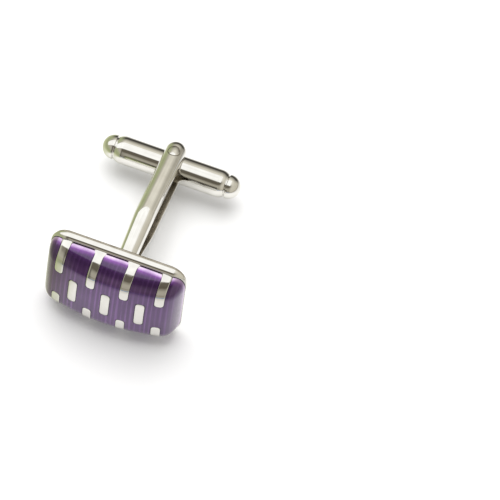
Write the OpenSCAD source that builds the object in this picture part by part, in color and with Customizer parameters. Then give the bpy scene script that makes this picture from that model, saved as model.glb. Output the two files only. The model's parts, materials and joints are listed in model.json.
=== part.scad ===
// Swivel-bar cufflink with a domed, enamelled rectangular face.
// The link lies as it does on a table: on the tip of the lower post arm and on the
// lower back edge of the face. +Z is up, X runs along the bar, Y along the post.
// All lengths are millimetres.

/* [Face] */
// width of the face, along the bar
face_w = 19.8; // [18:0.1:22]
// height of the face
face_h = 13.4; // [12.4:0.1:15]
// radius of the face's four corners, seen from the front
corner_r = 2.6; // [2.2:0.1:3.4]
// from the back of the back plate to the top of the dome
face_depth = 5.4; // [5:0.1:6]
// thickness of the back plate
back_t = 0.45; // [0.3:0.05:0.8]
// how far the back plate lies inside the frame's outline
back_inset = 0.15; // [0:0.05:0.4]
// from the back of the back plate to the top of the rim
rim_level = 1.5; // [1.3:0.05:1.8]
// width of the bare metal rim round the enamel
rim_w = 0.55; // [0.3:0.05:0.9]
// radius of the rim's outer edge
rim_round = 0.4; // [0.1:0.05:0.5]

/* [Dome and enamel] */
// radius of the dome's crown
crown_r = 28; // [25:0.5:36]
// radius with which the dome rolls over to the rim
edge_r = 2.6; // [2:0.1:3]
// thickness of the enamel
enamel_t = 0.5; // [0.3:0.05:0.8]
// how deep the enamel's edge sits behind the rim
seat_depth = 0.35; // [0.15:0.05:0.6]

/* [Bars on the face] */
// bars in the top row and in the bottom row
bar_count = 4; // [2:1:5]
// from one bar to the next
bar_pitch = 4.9; // [4.2:0.1:5.2]
// width of a bar
bar_w = 1.2; // [0.8:0.05:1.6]
// height of the middle row, between the two outer rows' ends
row_h = 4.5; // [3.4:0.1:5.5]
// radius of a bar's rounded end
bar_end_r = 0.75; // [0.7:0.05:1.2]
// how far the bars stand above the enamel
bar_proud = 0.06; // [0.02:0.01:0.15]
// how far a bar's root widens where it meets the rim
root_flare = 0.5; // [0.2:0.05:0.8]

/* [Post] */
// from the pivot to the back of the face
post_len = 21.2; // [20:0.1:24]
// clear gap between the two arms at the bar
arm_gap = 4.2; // [3.8:0.05:5]
// radius of an arm's half-round section
arm_r = 1.5; // [1.2:0.05:1.8]
// how far the arms run on past the pivot before their round tips
arm_tip = 1.0; // [0.9:0.05:1.5]
// straight part of the arms, from the pivot towards the face
arm_straight = 10.7; // [10.5:0.1:12]
// radius of the bend on the arms' flat side
arm_bend_r = 4.0; // [2:0.1:6]
// radius of the round foot where both arms are one
stem_r = 1.3; // [1:0.05:1.5]
// length of that round foot
stem_len = 1.4; // [0.8:0.1:2.5]
// size of the solder fillet round the foot
fillet_r = 0.45; // [0.2:0.05:0.8]
// thickness of the solder at the fillet's two edges
fillet_lip = 0.05; // [0.03:0.01:0.1]

/* [Swivel bar] */
// overall length of the bar
bar_len = 20.4; // [19:0.1:20.8]
// diameter of the bar's barrel
barrel_d = 4.0; // [3.6:0.05:4.1]
// diameter of the ball at each end
ball_d = 3.5; // [3.3:0.05:3.8]
// from the end of the barrel to the tip of the ball
cap_len = 2.05; // [1.8:0.05:2.4]
// length of the rounded shoulder at each end of the barrel
shoulder_len = 1.15; // [0.6:0.05:1.4]
// width of the groove between the barrel and the ball
groove_w = 0.16; // [0.1:0.01:0.3]
// diameter at the bottom of that groove
groove_d = 2.95; // [2.8:0.05:3.1]
// diameter of the bore through the barrel
bore_d = 2.5; // [2.2:0.05:2.7]
// length of the plug that holds each ball in the bore
plug_len = 1.6; // [1:0.1:2.5]

/* [Pivot and click] */
// diameter of the pivot pin
pin_d = 1.6; // [1.2:0.05:1.8]
// across the four flats that the plungers press on
pin_flats = 1.48; // [1.1:0.01:1.7]
// running clearance of the pin in the barrel, on the radius
pin_clear = 0.05; // [0.02:0.01:0.1]
// how far the pin's polished ends stand above the arms
pin_proud = 0.02; // [0.01:0.01:0.05]
// length of a plunger
plunger_len = 2.6; // [1.8:0.1:3.2]
// radius of a plunger's nose
nose_r = 2.0; // [1.4:0.1:3]
// clearance of a plunger in the bore, on the radius
plunger_clear = 0.05; // [0.02:0.01:0.1]
// gap between a plunger's nose and the pin's flat
nose_gap = 0.02; // [0.01:0.01:0.04]
// wire diameter of a click spring
wire_d = 0.34; // [0.2:0.02:0.4]
// free turns of a click spring
spring_turns = 5; // [3:1:7]
// gap between a click spring and the bore, on the radius
spring_clear = 0.14; // [0.08:0.01:0.3]

/* [Hidden] */
// smoothness of round shapes
$fn = 64;
// overrun of every cut, so that no face is left behind
over = 1;
// sides of the spring's wire, and rings for each turn
wire_sides = 8;
wire_rings = 18;
// share of the flare's size by which its round cut reaches past it
flare_cut_share = 0.15;

// half sizes
half_w = face_w / 2;
half_h = face_h / 2;
half_gap = arm_gap / 2;
barrel_r = barrel_d / 2;
ball_r = ball_d / 2;
bore_r = bore_d / 2;
pin_r = pin_d / 2;
half_bar = bar_len / 2;

// the dome is a crown of radius crown_r over walls whose top edges are rounded by edge_r;
// each rounding's axis lies so that its top just clears the crown
field_x = half_w - rim_w;
field_y = half_h - rim_w;
field_r = corner_r - rim_w;
crown_z = face_depth - crown_r;
axis_x = field_x - edge_r;
axis_y = field_y - edge_r;
axis_x_z = crown_z + sqrt(crown_r * crown_r - axis_x * axis_x) - edge_r;
axis_y_z = crown_z + sqrt(crown_r * crown_r - axis_y * axis_y) - edge_r;
seat_level = rim_level - seat_depth;

// post: both arms bend by one angle so that their flats meet at the foot
meet_run = post_len - stem_len - arm_straight;
bend_off = arm_bend_r - half_gap;
bend_reach = sqrt(meet_run * meet_run + bend_off * bend_off);
bend_angle = asin(arm_bend_r / bend_reach) - atan2(bend_off, meet_run);
slope_len = (half_gap - arm_bend_r * (1 - cos(bend_angle))) / sin(bend_angle);

// resting tilt: the lower arm's tip and the face's lower back edge touch the table
rest_run = post_len + back_t + arm_tip;
rest_rise = half_h - half_gap;
rest_reach = sqrt(rest_run * rest_run + rest_rise * rest_rise);
rest_tilt = atan2(rest_rise, rest_run) - asin(arm_r / rest_reach);
pivot_z = half_gap * cos(rest_tilt) + arm_tip * sin(rest_tilt) + arm_r;
tip_y = arm_tip * cos(rest_tilt) + half_gap * sin(rest_tilt) + arm_r;
front_y = -(post_len + crown_z) * cos(rest_tilt) - crown_r;
mid_y = (tip_y + front_y) / 2;

// swivel bar
barrel_end = half_bar - cap_len;
shoulder_x = barrel_end - shoulder_len;
plug_x = barrel_end - plug_len;
nose_x = pin_flats / 2 + nose_gap;
plunger_x = nose_x + plunger_len;
wire_r = wire_d / 2;
coil_r = bore_r - spring_clear - wire_r;

// from the link's own axes, with the pivot at zero, to the table
module at_rest() {
    translate([0, -mid_y, pivot_z])
        rotate([-rest_tilt, 0, 0])
            children();
}

// from the face's axes, with +Z out of the front, to the link's own axes
module on_face() {
    translate([0, -post_len, 0])
        rotate([90, 0, 0])
            children();
}

// turns the +Z direction of a revolved piece to +X
module along_x() {
    rotate([0, 90, 0])
        children();
}

// a rounded rectangle, built of plain pieces that share their edges
module rounded_rect(w, h, r) {
    translate([-w / 2 + r, -h / 2])
        square([w - 2 * r, h]);
    translate([-w / 2, -h / 2 + r])
        square([w, h - 2 * r]);
    for (sx = [-1, 1])
        for (sy = [-1, 1])
            translate([sx * (w / 2 - r), sy * (h / 2 - r)])
                circle(r);
}

// section across the dome below its crown: walls with rounded top edges
module wall_profile(reach, axis_level, lift) {
    translate([-reach - lift, -crown_r])
        square([2 * (reach + lift), axis_level + crown_r]);
    translate([edge_r - reach, -crown_r])
        square([2 * (reach - edge_r), face_depth + 2 * crown_r]);
    for (side = [-1, 1])
        translate([side * (reach - edge_r), axis_level])
            circle(edge_r + lift);
}

// whole dome from one level up, raised by lift all over
module dome(lift, level) {
    intersection() {
        translate([0, 0, crown_z])
            along_x()
                sphere(crown_r + lift);
        rotate([90, 0, 0])
            linear_extrude(2 * face_h, center = true)
                wall_profile(field_x, axis_x_z, lift);
        rotate([90, 0, 90])
            linear_extrude(2 * face_w, center = true)
                wall_profile(field_y, axis_y_z, lift);
        translate([0, 0, level])
            linear_extrude(face_depth + over)
                rounded_rect(2 * (field_x + lift), 2 * (field_y + lift), field_r + lift);
    }
}

// one bar seen from the front: its rounded end at zero, running up by len
module bar_shape(len) {
    intersection() {
        translate([-bar_w / 2, 0])
            square([bar_w, len]);
        union() {
            translate([0, bar_end_r])
                circle(bar_end_r);
            translate([-bar_w, bar_end_r])
                square([2 * bar_w, len]);
        }
    }
}

// widened root of a bar at the rim
module bar_root() {
    root_y = half_h - rim_w;
    for (side = [0, 1])
        mirror([side, 0])
            difference() {
                translate([0, root_y - root_flare])
                    square([bar_w / 2 + root_flare, root_flare + rim_w / 2]);
                translate([bar_w / 2 + root_flare, root_y - root_flare])
                    circle(root_flare * (1 + flare_cut_share));
            }
}

// all bars seen from the front: an outer row at each rim, a staggered row between them
module bars_shape() {
    for (side = [0, 1])
        mirror([0, side])
            for (i = [0 : bar_count - 1])
                translate([(i - (bar_count - 1) / 2) * bar_pitch, 0]) {
                    translate([0, row_h / 2])
                        bar_shape(half_h - rim_w / 2 - row_h / 2);
                    bar_root();
                }
    for (i = [0 : bar_count - 2])
        translate([(i - (bar_count - 2) / 2) * bar_pitch, 0])
            intersection() {
                translate([0, -row_h / 2])
                    bar_shape(row_h);
                mirror([0, 1])
                    translate([0, -row_h / 2])
                        bar_shape(row_h);
            }
}

// the bars' columns, cut through the whole dome
module bars_column(level) {
    translate([0, 0, level])
        linear_extrude(face_depth + over - level)
            bars_shape();
}

// section of the frame's wall: its outer top edge is rounded
module wall_section(width) {
    wall_top = rim_level - back_t;
    square([width - rim_round, wall_top]);
    square([width, wall_top - rim_round]);
    translate([width - rim_round, wall_top - rim_round])
        circle(rim_round);
}

// plain block of the frame under the rim, in pieces that share flat faces
module frame_block() {
    inner_w = face_w - 2 * corner_r;
    inner_h = face_h - 2 * corner_r;
    wall_top = rim_level - back_t;
    translate([-inner_w / 2, -inner_h / 2, 0])
        cube([inner_w, inner_h, wall_top]);
    for (turn = [0, 180])
        rotate([0, 0, turn]) {
            translate([inner_w / 2, inner_h / 2, 0])
                rotate([90, 0, 0])
                    linear_extrude(inner_h)
                        wall_section(corner_r);
            translate([-inner_w / 2, inner_h / 2, 0])
                rotate([90, 0, 90])
                    linear_extrude(inner_w)
                        wall_section(corner_r);
            translate([inner_w / 2, inner_h / 2, 0])
                rotate_extrude(angle = 90)
                    wall_section(corner_r);
            translate([-inner_w / 2, inner_h / 2, 0])
                rotate([0, 0, 90])
                    rotate_extrude(angle = 90)
                        wall_section(corner_r);
        }
}

// cast frame: block with a seat for the enamel, the enamel's floor and the bars
module face_frame() {
    color("gainsboro")
        at_rest()
            on_face() {
                difference() {
                    translate([0, 0, back_t])
                        frame_block();
                    translate([0, 0, seat_level])
                        linear_extrude(face_depth)
                            rounded_rect(2 * field_x, 2 * field_y, field_r);
                }
                dome(-enamel_t, seat_level);
                intersection() {
                    dome(bar_proud, seat_level);
                    bars_column(seat_level - over);
                }
            }
}

// enamel between the bars, from its seat behind the rim up to the dome
module enamel_field() {
    color("indigo")
        at_rest()
            on_face()
                difference() {
                    dome(0, seat_level);
                    dome(-enamel_t, seat_level);
                    bars_column(seat_level - over);
                }
}

// flat plate behind the frame
module back_plate() {
    color("silver")
        at_rest()
            on_face()
                linear_extrude(back_t)
                    rounded_rect(
                        face_w - 2 * back_inset,
                        face_h - 2 * back_inset,
                        corner_r - back_inset
                    );
}

// ring of solder round the foot
module solder_fillet() {
    fillet_w = fillet_r + fillet_lip;
    color("lightsteelblue")
        at_rest()
            on_face()
                mirror([0, 0, 1])
                    rotate_extrude()
                        difference() {
                            translate([stem_r, 0])
                                square([fillet_w, fillet_w]);
                            translate([stem_r + fillet_w, fillet_w])
                                circle(fillet_r);
                        }
}

// half disc with its flat side towards the axis
module arm_section(r) {
    intersection() {
        circle(r);
        translate([0, -r])
            square([r, 2 * r]);
    }
}

// upper arm, drawn with its run along +Y and its round side towards +X
module arm_run() {
    translate([half_gap, -arm_tip, 0]) {
        rotate([-90, 0, 0])
            linear_extrude(arm_tip + arm_straight)
                arm_section(arm_r);
        intersection() {
            sphere(arm_r);
            translate([0, -arm_r, -arm_r])
                cube([arm_r, arm_r, 2 * arm_r]);
        }
    }
    translate([half_gap - arm_bend_r, arm_straight, 0]) {
        rotate_extrude(angle = bend_angle)
            translate([arm_bend_r, 0])
                arm_section(arm_r);
        rotate([0, 0, bend_angle])
            translate([arm_bend_r, 0, 0])
                rotate([-90, 0, 0])
                    intersection() {
                        cylinder(h = slope_len, r1 = arm_r, r2 = stem_r);
                        translate([0, -arm_r, 0])
                            cube([arm_r, 2 * arm_r, slope_len]);
                    }
    }
}

// post: two arms that meet in a round foot, drilled across for the pivot pin
module post_fork() {
    color("whitesmoke")
        at_rest()
            difference() {
                union() {
                    for (side = [0, 1])
                        mirror([0, 0, side])
                            rotate(a = 180, v = [1, 0, 1])
                                arm_run();
                    translate([0, -post_len, 0])
                        rotate([-90, 0, 0])
                            cylinder(h = stem_len + stem_r, r = stem_r);
                }
                cylinder(h = arm_gap + 2 * arm_r + over, r = pin_r, center = true);
            }
}

// outline that the pin's ends are polished to
module pin_reach() {
    for (side = [-1, 1])
        translate([0, 0, side * half_gap])
            rotate([90, 0, 0])
                cylinder(h = arm_gap, r = arm_r + pin_proud, center = true);
    cube([arm_gap, arm_gap, arm_gap], center = true);
}

// pivot pin, with four flats in the middle for the click
module pivot_pin() {
    color("lightgrey")
        at_rest()
            difference() {
                intersection() {
                    cylinder(h = 2 * (half_gap + arm_r + pin_proud), r = pin_r, center = true);
                    pin_reach();
                }
                for (turn = [0 : 90 : 270])
                    rotate([0, 0, turn])
                        translate([pin_flats / 2, -pin_r, -bore_r])
                            cube([pin_r, pin_d, bore_d]);
            }
}

// half of the barrel's section, length to the right
module barrel_section() {
    intersection() {
        square([barrel_end, barrel_r]);
        union() {
            square([shoulder_x, barrel_r]);
            translate([shoulder_x, 0])
                circle(barrel_r);
        }
    }
}

// barrel: a tube with rounded shoulders, drilled across for the pin
module toggle_barrel() {
    color("gainsboro")
        at_rest()
            difference() {
                for (turn = [0, 180])
                    rotate([0, 0, turn])
                        along_x()
                            rotate_extrude()
                                mirror([1, -1])
                                    barrel_section();
                along_x()
                    cylinder(h = bar_len, r = bore_r, center = true);
                cylinder(h = barrel_d + over, r = pin_r + pin_clear, center = true);
            }
}

// ball with its neck and the plug that is pressed into the bore; both run on into the ball
module ball_tip() {
    neck_x = barrel_end + groove_w;
    at_rest()
        along_x() {
            translate([0, 0, plug_x])
                cylinder(h = plug_len + groove_w + cap_len / 2, r = bore_r);
            translate([0, 0, barrel_end])
                cylinder(h = cap_len / 2, r = groove_d / 2);
            translate([0, 0, neck_x])
                intersection() {
                    translate([0, 0, half_bar - neck_x - ball_r])
                        sphere(ball_r);
                    cylinder(h = cap_len, r = ball_r);
                }
        }
}

// plunger that presses on the pin's flat
module click_plunger() {
    at_rest()
        along_x()
            translate([0, 0, nose_x])
                intersection() {
                    cylinder(h = plunger_len, r = bore_r - plunger_clear);
                    translate([0, 0, nose_r])
                        sphere(nose_r);
                    cylinder(h = plunger_len, r = nose_r);
                }
}

// one ring of the spring's wire at a turn angle
function wire_ring(turn, pitch) = [
    for (k = [0 : wire_sides - 1])
        let (
            across = wire_r * cos(360 * k / wire_sides),
            along = wire_r * sin(360 * k / wire_sides)
        )
        [
            (coil_r + across) * cos(turn),
            (coil_r + across) * sin(turn),
            pitch * turn / 360 + along
        ]
];

// click spring between the plunger and the plug
module click_spring() {
    free_len = plug_x - plunger_x - wire_d;
    pitch = free_len / spring_turns;
    rings = spring_turns * wire_rings;
    points = [for (i = [0 : rings]) each wire_ring(360 * i / wire_rings, pitch)];
    sides = [
        for (i = [0 : rings - 1])
            for (k = [0 : wire_sides - 1])
                let (
                    a = i * wire_sides + k,
                    b = i * wire_sides + (k + 1) % wire_sides
                )
                each [[a, b, b + wire_sides], [a, b + wire_sides, a + wire_sides]]
    ];
    first_end = [for (k = [1 : wire_sides - 2]) [0, k + 1, k]];
    last = rings * wire_sides;
    last_end = [for (k = [1 : wire_sides - 2]) [last, last + k, last + k + 1]];
    at_rest()
        along_x()
            translate([0, 0, plunger_x + wire_r])
                polyhedron(points = points, faces = concat(sides, first_end, last_end));
}

module ball_tip_right() {
    color("silver")
        ball_tip();
}

module ball_tip_left() {
    color("silver")
        mirror([1, 0, 0])
            ball_tip();
}

module click_plunger_right() {
    color("tan")
        click_plunger();
}

module click_plunger_left() {
    color("tan")
        mirror([1, 0, 0])
            click_plunger();
}

module click_spring_right() {
    color("steelblue")
        click_spring();
}

module click_spring_left() {
    color("steelblue")
        mirror([1, 0, 0])
            click_spring();
}

face_frame();
enamel_field();
back_plate();
solder_fillet();
post_fork();
pivot_pin();
toggle_barrel();
ball_tip_left();
ball_tip_right();
click_plunger_left();
click_plunger_right();
click_spring_left();
click_spring_right();
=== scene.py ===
# %% [markdown]
# # A swivel-bar cufflink, dressed
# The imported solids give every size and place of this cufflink. This lesson turns them into
# a polished piece of jewellery: a domed face of violet glass enamel over a ribbed ground,
# eleven raised bars, and a plated post with a swivel bar. Each step says what the real
# piece is, how it could be made in Blender, and why one way was chosen.

import json
from math import atan2, cos, degrees, pi, radians, sin, sqrt

import bmesh
import bpy
import numpy as np
from mathutils import Matrix


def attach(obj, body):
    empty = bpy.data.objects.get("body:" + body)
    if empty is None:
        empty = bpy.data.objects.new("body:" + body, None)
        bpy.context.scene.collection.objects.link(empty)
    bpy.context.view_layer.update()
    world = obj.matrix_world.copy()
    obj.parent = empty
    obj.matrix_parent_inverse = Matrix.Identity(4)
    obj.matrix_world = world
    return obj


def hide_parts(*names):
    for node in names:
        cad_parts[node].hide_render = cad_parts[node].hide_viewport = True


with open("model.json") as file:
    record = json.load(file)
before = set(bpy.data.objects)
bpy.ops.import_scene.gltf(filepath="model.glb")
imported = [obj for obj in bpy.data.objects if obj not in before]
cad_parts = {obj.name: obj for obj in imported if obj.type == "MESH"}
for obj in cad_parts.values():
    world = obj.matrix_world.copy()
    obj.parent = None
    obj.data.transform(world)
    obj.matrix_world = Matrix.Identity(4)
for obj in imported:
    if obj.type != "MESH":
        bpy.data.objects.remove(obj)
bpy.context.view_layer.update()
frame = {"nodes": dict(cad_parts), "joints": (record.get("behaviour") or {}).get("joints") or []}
mm = 0.001

# %% [markdown]
# ## The link's own axes
# On the table the link leans on the tip of its lower arm, so nothing on it is square to
# the table. All pieces are drawn in the link's own axes instead: x along the swivel bar, y
# along the post towards the bar, z along the pivot pin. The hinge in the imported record
# gives the pivot and the pin's direction, and that is all it takes to lay a drawing on the
# table.

# %% Axes from the hinge
hinge = frame["joints"][0]
pivot = np.array(hinge["pos_m"])
pin_way = np.array(hinge["axis"]) / np.linalg.norm(hinge["axis"])
bar_way = np.array((1.0, 0.0, 0.0))
link_axes = np.array((bar_way, np.cross(pin_way, bar_way), pin_way))


def own_points(node):
    """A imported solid's points in the link's own axes."""
    corners = np.array([v.co for v in frame["nodes"][node].data.vertices])
    return (corners - pivot) @ link_axes.T


def own_box(node):
    """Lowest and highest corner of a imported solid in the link's own axes."""
    own = own_points(node)
    return own.min(0), own.max(0)


print("the link leans by", round(degrees(atan2(pin_way[1], pin_way[2])), 2), "degrees")

# %% [markdown]
# ## One function that makes a piece
# Blender's own cylinders and bevels could rough out a cufflink, but every piece here is a
# list of points and faces that the script works out itself, so each curve keeps its
# measured size. One helper lays them on the table, merges points that meet, turns all
# faces outwards, shades them smoothly but for real edges, and lets the piece ride on its
# body. It also hides the plain solid that the piece stands for.

# %% Making a piece
merge_gap = 0.0004 * mm
edge_angle = radians(38)


def make_piece(name, points, faces, finish, body, slot, *solids):
    """A mesh piece from points in the link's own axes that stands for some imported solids."""
    mesh = bpy.data.meshes.new(name)
    mesh.from_pydata((pivot + np.asarray(points) @ link_axes).tolist(), [], faces)
    shape = bmesh.new()
    shape.from_mesh(mesh)
    bmesh.ops.remove_doubles(shape, verts=shape.verts, dist=merge_gap)
    bmesh.ops.recalc_face_normals(shape, faces=shape.faces)
    shape.to_mesh(mesh)
    shape.free()
    mesh.polygons.foreach_set("use_smooth", [True] * len(mesh.polygons))
    mesh.set_sharp_from_angle(angle=edge_angle)
    mesh.materials.append(finish)
    piece = bpy.data.objects.new(name, mesh)
    bpy.context.scene.collection.objects.link(piece)
    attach(piece, body)
    if solids:
        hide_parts(*solids)
    print(name, "has", len(mesh.polygons), "faces")
    return piece

print("points closer than", round(merge_gap / mm, 4), "mm are merged")

# %% [markdown]
# ## Skins over rows of points
# Most pieces are skins over rows of points, like the staves over the hoops of a barrel: a
# rim is a profile repeated round the face, a post is a section repeated along a path.
# These helpers list the faces between neighbouring rows, close the two ends, and put
# several skins into one piece.

# %% Skins over rows of points
def net_faces(rows, columns, start=0, closed=False):
    """Faces between rows of points; closed joins the last column to the first."""
    return [
        (
            start + r * columns + c,
            start + r * columns + (c + 1) % columns,
            start + (r + 1) * columns + (c + 1) % columns,
            start + (r + 1) * columns + c,
        )
        for r in range(rows - 1)
        for c in range(columns if closed else columns - 1)
    ]


def capped_tube(rows):
    """Points and faces of a closed skin over rows of points, each row a closed loop."""
    count, columns = len(rows), len(rows[0])
    faces = net_faces(count, columns, closed=True)
    faces.append(tuple(range(columns)))
    faces.append(tuple((count - 1) * columns + c for c in range(columns)))
    return [p for row in rows for p in row], faces


def joined(skins):
    """Several skins as one list of points and one of faces."""
    points, faces = [], []
    for skin_points, skin_faces in skins:
        start = len(points)
        points.extend(skin_points)
        faces.extend(tuple(start + i for i in face) for face in skin_faces)
    return points, faces


print("two rows of four points give", len(net_faces(2, 4, closed=True)), "faces round a tube")

# %% [markdown]
# ## Nodes, in short
# A material is a small net of nodes. Nodes that are placed by hand in the editor can't be
# read in a script, and these helpers keep the recipes below readable. Two add a node and a
# new material. The others make a noise that is stretched along an axis, map a value to a
# new range, mix two colours and do one sum. Patterns read object coordinates, which are
# metres on each piece, so a scale of 1 / mm gives one feature for each millimetre.

# %% Nodes and new materials
def add_node(net, kind, values=None, **links):
    """A node with sockets set by name, and inputs joined to other nodes' outputs."""
    node = net.nodes.new("ShaderNode" + kind)
    for name, value in (values or {}).items():
        node.inputs[name].default_value = value
    for name, output in links.items():
        net.links.new(output, node.inputs[name.replace("_", " ")])
    return node


def new_material(name):
    """An empty material with an output, and its Principled shader."""
    material = bpy.data.materials.new(name)
    material.use_nodes = True
    return material, material.node_tree, material.node_tree.nodes["Principled BSDF"]


print("a material starts with its Principled shader")


# %% Noise, ranges, blends and sums
def noise(net, per_x, per_y, per_z, detail=3.0):
    """Noise with its own number of features for each metre along each axis."""
    place = add_node(net, "TexCoord").outputs["Object"]
    stretch = add_node(net, "Mapping", {"Scale": (per_x, per_y, per_z)}, Vector=place)
    cloud = add_node(net, "TexNoise", {"Scale": 1.0, "Detail": detail}, Vector=stretch.outputs[0])
    return cloud.outputs["Fac"]


def mapped(net, value, from_low, from_high, to_low, to_high):
    """A value mapped from one range to another and held inside it."""
    values = {"From Min": from_low, "From Max": from_high, "To Min": to_low, "To Max": to_high}
    return add_node(net, "MapRange", values, Value=value).outputs["Result"]


def mixed(net, share, first, second):
    """A blend of two colours, each a plain colour or another node's output."""
    node = net.nodes.new("ShaderNodeMix")
    node.data_type = "RGBA"
    net.links.new(share, node.inputs[0])
    for socket, colour in zip([s for s in node.inputs if s.type == "RGBA"], (first, second)):
        if isinstance(colour, tuple):
            socket.default_value = (*colour, 1.0)
        else:
            net.links.new(colour, socket)
    return next(s for s in node.outputs if s.type == "RGBA")


def computed(net, operation, first, second):
    """One sum on values, each a number or another node's output."""
    node = net.nodes.new("ShaderNodeMath")
    node.operation = operation
    for socket, value in zip(node.inputs, (first, second)):
        if isinstance(value, (int, float)):
            socket.default_value = value
        else:
            net.links.new(value, socket)
    return node.outputs[0]


print("values can now be spread, mapped, mixed and summed")

# %% [markdown]
# ## The plating
# The metal is brass or zinc with a bright nickel or rhodium skin. A flat mirror would look
# false: real plating is a little warm, a little cloudy, and its polish leaves faint waves
# and hairlines. One noise shifts the tint, a finer one the roughness, and a bump of a few
# thousandths of a millimetre bends the reflections.

# %% Plating
hair_share = 0.06


def plating(name, bright, dull, smooth, rough, wave_height):
    """Bright plated metal; wave_height is the height of its polishing waves in metres."""
    material, net, shader = new_material(name)
    clouds = noise(net, 0.6 / mm, 0.6 / mm, 0.6 / mm)
    specks = noise(net, 9 / mm, 9 / mm, 9 / mm)
    waves = noise(net, 1.1 / mm, 0.7 / mm, 1.1 / mm, 1.0)
    hairs = noise(net, 14 / mm, 1.2 / mm, 14 / mm)
    tint = mixed(net, mapped(net, clouds, 0.35, 0.7, 0, 1), bright, dull)
    net.links.new(tint, shader.inputs["Base Color"])
    net.links.new(mapped(net, specks, 0.3, 0.75, smooth, rough), shader.inputs["Roughness"])
    relief = computed(net, "ADD", waves, computed(net, "MULTIPLY", hairs, hair_share))
    bump = add_node(net, "Bump", {"Strength": 1.0, "Distance": wave_height}, Height=relief)
    net.links.new(bump.outputs[0], shader.inputs["Normal"])
    shader.inputs["Metallic"].default_value = 1.0
    return material


bright_plating = plating(
    "bright_plating", (0.81, 0.8, 0.77), (0.75, 0.735, 0.7), 0.03, 0.075, 0.006 * mm
)
print("made", bright_plating.name)

# %% [markdown]
# ## Sizes of the face
# The face is a shallow box: a back plate, a frame with a rim, and a dome of enamel. Sizes
# that are typed in again drift from the solids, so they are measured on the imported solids,
# as levels over the back of the plate. The rim's level is that of the frame's highest
# points outside the field of enamel.

# %% Measuring the face
plate_low, plate_high = own_box("back_plate")
frame_low, frame_high = own_box("face_frame")
field_high = own_box("enamel_field")[1]
face_back = plate_high[1]
plate_level = face_back - plate_low[1]
half_width, half_height = frame_high[0], frame_high[2]
field_x, field_z = field_high[0], field_high[2]
seat_level = face_back - field_high[1]
outer_corner = 2.6 * mm
bar_rise = 0.06 * mm
frame_points = own_points("face_frame")
off_field = (abs(frame_points[:, 0]) > field_x + 2 * bar_rise) | (
    abs(frame_points[:, 2]) > field_z + 2 * bar_rise
)
rim_level = face_back - frame_points[off_field][:, 1].min()
print("face", round(2 * half_width / mm, 2), "x", round(2 * half_height / mm, 2), "mm")
print("the rim lies", round(rim_level / mm, 2), "mm over the plate's back")

# %% [markdown]
# ## The glass, as a rolling ball would leave it
# The crown is part of a large sphere. A smaller ball rolls along its edge, so the crown
# runs over into upright walls without a crease. The ball is drawn out in height, as glass
# settles: it drops further than it reaches out. At the two short ends the glass swells
# almost to the outside of the rim and its edge is tighter, so lengths along x are
# stretched before the ball rolls. This flattens the crown across the face, and the middle
# is lowered by as much as the long edges would rise.

# %% Crown and rolled edge
crown_radius = 28 * mm
roll_radius, roll_depth = 2.6 * mm, 3.6 * mm
end_roll, end_rim = 2.1 * mm, 0.04 * mm
stretch = roll_radius / end_roll
draw = roll_depth / roll_radius
inner_x = (half_width - end_rim) * stretch - roll_radius
inner_z = field_z - roll_radius
flattened = inner_z**2 / (2 * crown_radius) * (1 - 1 / stretch**2)
dome_level = face_back - frame_low[1] - bar_rise - flattened
print("the dome rises to", round(dome_level / mm, 2), "mm over the plate's back")

# %% [markdown]
# ## The dome as a function
# A subdivided box would bulge to a shape that nobody can state. Instead, `dome` gives the
# level of the enamel and its outward direction anywhere on the face. It looks for the
# place of the rolling ball that reaches highest over a point, in a space that is stretched
# along x and shrunk in height, where the ball is round. The enamel and all the bars share
# this function, so the bars hug the glass exactly.

# %% Dome function
ball_passes = 12


def dome(u, v):
    """Level over the back plate, and outward direction, of the dome at a place (u, v)."""
    u, v = np.broadcast_arrays(np.asarray(u, float) * stretch, np.asarray(v, float))
    inner_radius = crown_radius * stretch**2 * draw - roll_radius
    ball_u, ball_v = np.clip(u, -inner_x, inner_x), np.clip(v, -inner_z, inner_z)
    for _ in range(ball_passes):
        deep = np.sqrt(inner_radius**2 - ball_u**2 - ball_v**2)
        above = np.sqrt(np.maximum(roll_radius**2 - (u - ball_u) ** 2 - (v - ball_v) ** 2, 0))
        pull = deep / (deep + above)
        ball_u, ball_v = np.clip(u * pull, -inner_x, inner_x), np.clip(v * pull, -inner_z, inner_z)
    level = dome_level - draw * (inner_radius + roll_radius - deep - above)
    out = np.stack(((u - ball_u) * stretch, v - ball_v, above / draw), -1)
    return level, out / np.linalg.norm(out, axis=-1, keepdims=True)


def on_face(u, v, level):
    """A point on the face in the link's own axes: the face looks along -y."""
    return np.stack(np.broadcast_arrays(u, face_back - level, v), -1)


edge_step = float(dome(0, field_z)[0] - rim_level)
print("beside the long rims the dome's edge is", round(edge_step / mm, 2), "mm above the rim")

# %% [markdown]
# ## Lines round the face
# The rim, the plate and the edge of the glass are all rectangles with rounded corners. One
# function walks round such a line and also gives the outward direction at each point, so
# the same steps fit a line of any size, and lines one over the other can be joined by
# faces.

# %% Walking round the face
side_steps, corner_steps = 28, 12


def around(reach_x, reach_z, radius):
    """Points round a rectangle with rounded corners, and the outward direction at each."""
    places, ways = [], []
    corners = ((1, 1), (-1, 1), (-1, -1), (1, -1))
    for number, (side_x, side_z) in enumerate(corners):
        start = number * pi / 2
        next_x, next_z = corners[(number + 1) % 4]
        for turn in range(corner_steps + 1):
            angle = start + turn / corner_steps * pi / 2
            places.append((side_x * reach_x, side_z * reach_z))
            ways.append((cos(angle), sin(angle)))
        for step in range(1, side_steps):
            share = step / side_steps
            along_x = side_x + (next_x - side_x) * share
            along_z = side_z + (next_z - side_z) * share
            places.append((reach_x * along_x, reach_z * along_z))
            ways.append(ways[-1])
    places, ways = np.array(places), np.array(ways)
    return places + radius * ways, ways


print("a line round the face has", len(around(inner_x, inner_z, 0)[0]), "points")

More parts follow.
